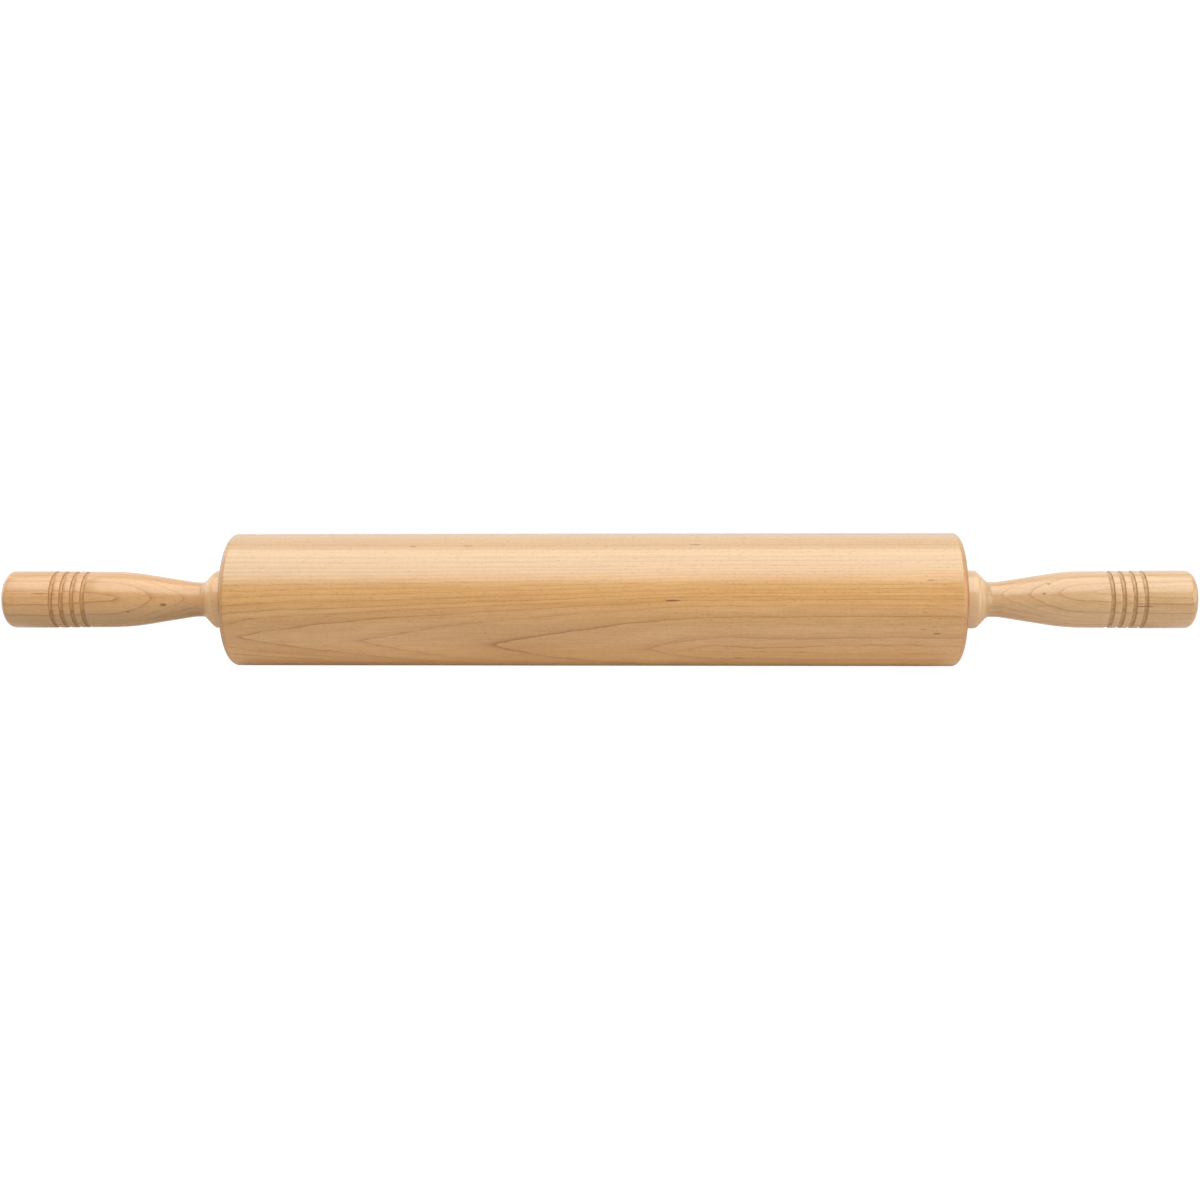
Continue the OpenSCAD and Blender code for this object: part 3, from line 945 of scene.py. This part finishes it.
class PIN_OT_fit_plugs(Operator):
    """Make the wooden plugs that close the handles' sockets"""

    bl_idname = "pin.fit_plugs"
    bl_label = "Fit the End Plugs"

    def execute(self, context):
        look = context.scene.pin_wood
        facets = context.scene.pin_barrel.facets
        low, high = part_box("right_end_plug")
        right = add_round_bar("turned_right_plug", high.z, low.x, high.x, facets)
        break_edges(right, context.scene.pin_handle.broken_edge)
        # Two inset rings divide the wide faces of the ends, which alone have many corners.
        bpy.ops.object.mode_set(mode="EDIT")
        bpy.ops.mesh.select_mode(type="FACE")
        bpy.ops.mesh.select_all(action="DESELECT")
        bpy.ops.mesh.select_face_by_sides(number=4, type="GREATER")
        bpy.ops.mesh.inset(thickness=high.z / 3)
        bpy.ops.mesh.inset(thickness=high.z / 3)
        bpy.ops.object.mode_set(mode="OBJECT")
        left = mirror_to_left(right, "turned_left_plug")
        tones = Tones(look.plug_light, look.plug_light, look.plug_dark, look.tan_tint)
        wood = maple("Plug maple", PLUG_BLANK, (), tones, look)
        dress(left, "handles", wood, "left_end_plug")
        dress(right, "handles", wood, "right_end_plug")
        return {"FINISHED"}


def tool_marks_group(name):
    """Fine marks around the axis, as a lathe, a grinder or a press tool leaves them."""
    tree, given, result = new_group(
        name, {"Position": "Vector", "Spacing": "Float"}, ("Marks", "Smudge")
    )
    parts = split(tree, given["Position"])
    flat = add(tree, "CombineXYZ", {"Y": parts["Y"], "Z": parts["Z"]}).outputs[0]
    out = vector(tree, "LENGTH", flat)
    along = calc(tree, "DIVIDE", calc(tree, "ADD", parts["X"], out), given["Spacing"])
    feed(tree, result["Marks"], line_noise(tree, along, detail=2.0))
    feed(tree, result["Smudge"], noise(tree, given["Position"], (4, 4, 4), detail=3.0))
    return tree


def bare_steel(name, rgb, spacing, roughness, depth):
    """Bare steel with tool marks of a given spacing and depth, in millimetres."""
    material, tree, shader, position = new_material(name)
    marks = use_group(tree, "Tool marks", tool_marks_group, {
        "Position": position, "Spacing": spacing,
    })
    smudged = mix(tree, marks["Smudge"], tinted(rgb, (0.86, 0.86, 0.86)), solid(rgb))
    feed(tree, shader.inputs["Base Color"], smudged)
    shader.inputs["Metallic"].default_value = 1.0
    roughen(tree, shader, marks["Marks"], smoothest=roughness, spread=roughness / 2)
    bump(tree, shader, marks["Marks"], strength=0.4, millimetres=depth)
    return material


def zinc_plate(name, rgb):
    """Zinc plating: small cloudy crystals with a faint blue and yellow cast."""
    material, tree, shader, position = new_material(name)
    crystals = add(tree, "TexVoronoi", {"Vector": position, "Scale": 1.4}).outputs["Color"]
    grey = add(tree, "SeparateColor", {"Color": crystals}).outputs[0]
    warm = tinted(rgb, (1.04, 1.01, 0.88))
    cool = tinted(rgb, (0.82, 0.86, 0.93))
    cloud = noise(tree, position, (5, 5, 5), detail=3.0)
    cast = mix(tree, ease(tree, cloud, 0.35, 0.65), cool, warm)
    shaded = mix(tree, calc(tree, "MULTIPLY", grey, 0.22), cast, cool)
    feed(tree, shader.inputs["Base Color"], shaded)
    shader.inputs["Metallic"].default_value = 1.0
    roughen(tree, shader, grey, smoothest=0.3, spread=0.12)
    bump(tree, shader, cloud, strength=0.3, millimetres=0.03)
    return material


def plain_nylon(name, rgb):
    """Natural nylon, slightly uneven in tone and gloss."""
    material, tree, shader, position = new_material(name)
    cloud = noise(tree, position, (2, 2, 2), detail=3.0)
    uneven = mix(tree, cloud, tinted(rgb, (0.86, 0.84, 0.78)), solid(rgb))
    feed(tree, shader.inputs["Base Color"], uneven)
    roughen(tree, shader, cloud, smoothest=0.4, spread=0.2)
    bump(tree, shader, cloud, strength=0.2, millimetres=0.03)
    return material


class PIN_OT_finish_fittings(Operator):
    """Finish the rod, the bearings and the fixings in their metals"""

    bl_idname = "pin.finish_fittings"
    bl_label = "Finish the Fittings"

    def execute(self, context):
        look = context.scene.pin_steel
        turned = bare_steel("Turned steel", look.rod, spacing=0.25, roughness=0.26, depth=0.02)
        ground = bare_steel("Ground steel", look.race, spacing=0.06, roughness=0.14, depth=0.004)
        polished = bare_steel(
            "Polished steel", look.ball, spacing=0.5, roughness=0.06, depth=0.001
        )
        pressed = bare_steel("Pressed steel", look.shield, spacing=0.4, roughness=0.3, depth=0.01)
        zinc = zinc_plate("Zinc plate", look.zinc)
        nylon = plain_nylon("Natural nylon", look.nylon)
        # The last word of a node's name says what it is, and a wooden one isn't listed here.
        finishes = {
            "rod": turned, "spacer": turned, "race": ground, "balls": polished,
            "shield": pressed, "cage": nylon, "plate": zinc, "washer": zinc, "nut": zinc,
        }
        for node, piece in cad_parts.items():
            kind = node.split("_")[-1]
            if kind in finishes:
                for material_slot in piece.material_slots:
                    material_slot.material = finishes[kind]
        return {"FINISHED"}


def floor_material(setup):
    """A pale floor, seen as nearly white with a soft shadow and as plain white far away."""
    material, tree, shader, position = new_material("Pale floor")
    cloud = noise(tree, position, (333, 333, 333))
    paint = mix(tree, cloud, (0.89, 0.89, 0.89, 1), (0.91, 0.91, 0.91, 1))
    feed(tree, shader.inputs["Base Color"], paint)
    shader.inputs["Roughness"].default_value = 0.9
    shader.inputs["Specular IOR Level"].default_value = 0.1
    glow = add(tree, "Emission", {"Color": (1, 1, 1, 1), "Strength": 1.1}).outputs[0]
    away = vector(tree, "LENGTH", position)
    near, far = setup.floor_near / MM, setup.floor_far / MM
    whiteness = ease(tree, away, near, far, to_low=setup.floor_white)
    seen = tree.nodes.new("ShaderNodeLightPath").outputs["Is Camera Ray"]
    share = calc(tree, "MULTIPLY", seen, whiteness)
    both = add(tree, "MixShader", {0: share, 1: shader.outputs[0], 2: glow}).outputs[0]
    feed(tree, tree.nodes["Material Output"].inputs["Surface"], both)
    return material


def light_the_room(scene, ambient):
    """Gives the room an even light, which the camera and all reflections see as white."""
    world = bpy.data.worlds.new("Room")
    scene.world = world
    world.use_nodes = True
    tree = world.node_tree
    paths = tree.nodes.new("ShaderNodeLightPath").outputs
    seen = calc(tree, "MAXIMUM", paths["Is Camera Ray"], paths["Is Glossy Ray"])
    seen = calc(tree, "MAXIMUM", seen, paths["Is Transmission Ray"])
    strength = calc(tree, "MULTIPLY_ADD", seen, 1 - ambient, ambient)
    background = tree.nodes["Background"]
    background.inputs["Color"].default_value = (1, 1, 1, 1)
    feed(tree, background.inputs["Strength"], strength)


class PIN_OT_set_studio(Operator):
    """Lay the floor, hang the softbox and place the camera"""

    bl_idname = "pin.set_studio"
    bl_label = "Set the Studio"

    def execute(self, context):
        setup = context.scene.pin_studio
        self.lay_floor(context, setup)
        self.hang_lights(setup)
        self.place_camera(context, setup)
        light_the_room(context.scene, setup.ambient)
        context.scene.view_settings.view_transform = "Standard"
        return {"FINISHED"}

    def lay_floor(self, context, setup):
        """Lays the floor on which the barrel rests."""
        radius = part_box("barrel")[1].z
        bpy.ops.object.select_all(action="DESELECT")
        bpy.ops.mesh.primitive_plane_add(size=setup.floor_size, location=(0, 0, -radius))
        floor = context.object
        floor.name = "floor"
        bpy.ops.object.mode_set(mode="EDIT")
        bpy.ops.mesh.subdivide(number_cuts=7)
        bpy.ops.object.mode_set(mode="OBJECT")
        floor.data.materials.append(floor_material(setup))

    def hang_lights(self, setup):
        """Hangs a softbox over the pin, and a weaker light beyond each of its ends."""
        over = (setup.softbox_right, setup.softbox_back, setup.softbox_height)
        size = (setup.softbox_length, setup.softbox_width)
        self.hang(over, (over[0], over[1], 0), size, setup.softbox_radiance)
        card = (setup.card_size, setup.card_size)
        left = (-setup.card_distance, setup.left_back, setup.card_height)
        right = (setup.card_distance, -setup.right_front, setup.card_height)
        self.hang(left, (0, 0, 0), card, setup.left_card)
        self.hang(right, (0, 0, 0), card, setup.right_card)

    def hang(self, place, target, size, radiance):
        """Hangs one flat light, which faces a target."""
        facing = (Vector(target) - Vector(place)).to_track_quat("-Z", "Y").to_euler()
        bpy.ops.object.light_add(type="AREA", location=place, rotation=facing)
        lamp = bpy.context.object.data
        lamp.shape = "RECTANGLE"
        lamp.size, lamp.size_y = size
        lamp.energy = LIGHT_POWER * radiance * size[0] * size[1]

    def place_camera(self, context, setup):
        """Looks at the pin so that its axis runs level across the picture."""
        level = cos(setup.turn)
        away = Vector((
            sin(setup.turn), -level * cos(setup.elevation), level * sin(setup.elevation)
        ))
        right = (Vector((1, 0, 0)) - away * away.x).normalized()
        place = Vector((setup.aim, 0, -setup.aim_below)) + away * setup.distance
        turned = Matrix((right, away.cross(right), away)).transposed().to_euler()
        bpy.ops.object.camera_add(location=place, rotation=turned)
        context.object.data.lens = setup.lens
        context.scene.camera = context.object


class PIN_PT_panel(Panel):
    """Steps that make the rolling pin, in order"""

    bl_idname = "PIN_PT_panel"
    bl_label = "Rolling Pin"
    bl_space_type = "VIEW_3D"
    bl_region_type = "UI"
    bl_category = "Rolling Pin"

    def draw(self, context):
        for step in STEPS:
            self.layout.operator(step.bl_idname)
        for group in SETTINGS:
            box = self.layout.box()
            settings = getattr(context.scene, group)
            for name in settings.bl_rna.properties.keys():
                if name not in ("rna_type", "name"):
                    box.prop(settings, name)


STEPS = (
    PIN_OT_turn_barrel, PIN_OT_turn_handles, PIN_OT_fit_plugs, PIN_OT_finish_fittings,
    PIN_OT_set_studio,
)
SETTINGS = {
    "pin_barrel": BarrelSizes, "pin_handle": HandleSizes, "pin_wood": WoodLook,
    "pin_steel": SteelLook, "pin_studio": StudioSetup,
}


def register():
    for group in (*SETTINGS.values(), *STEPS, PIN_PT_panel):
        bpy.utils.register_class(group)
    for name, group in SETTINGS.items():
        setattr(bpy.types.Scene, name, PointerProperty(type=group))


def unregister():
    for name in SETTINGS:
        delattr(bpy.types.Scene, name)
    for group in (PIN_PT_panel, *reversed(STEPS), *reversed(SETTINGS.values())):
        bpy.utils.unregister_class(group)


def main():
    """Makes the rolling pin."""
    register()
    bpy.ops.pin.turn_barrel()
    bpy.ops.pin.turn_handles()
    bpy.ops.pin.fit_plugs()
    bpy.ops.pin.finish_fittings()
    bpy.ops.pin.set_studio()


if __name__ == "__main__":
    main()
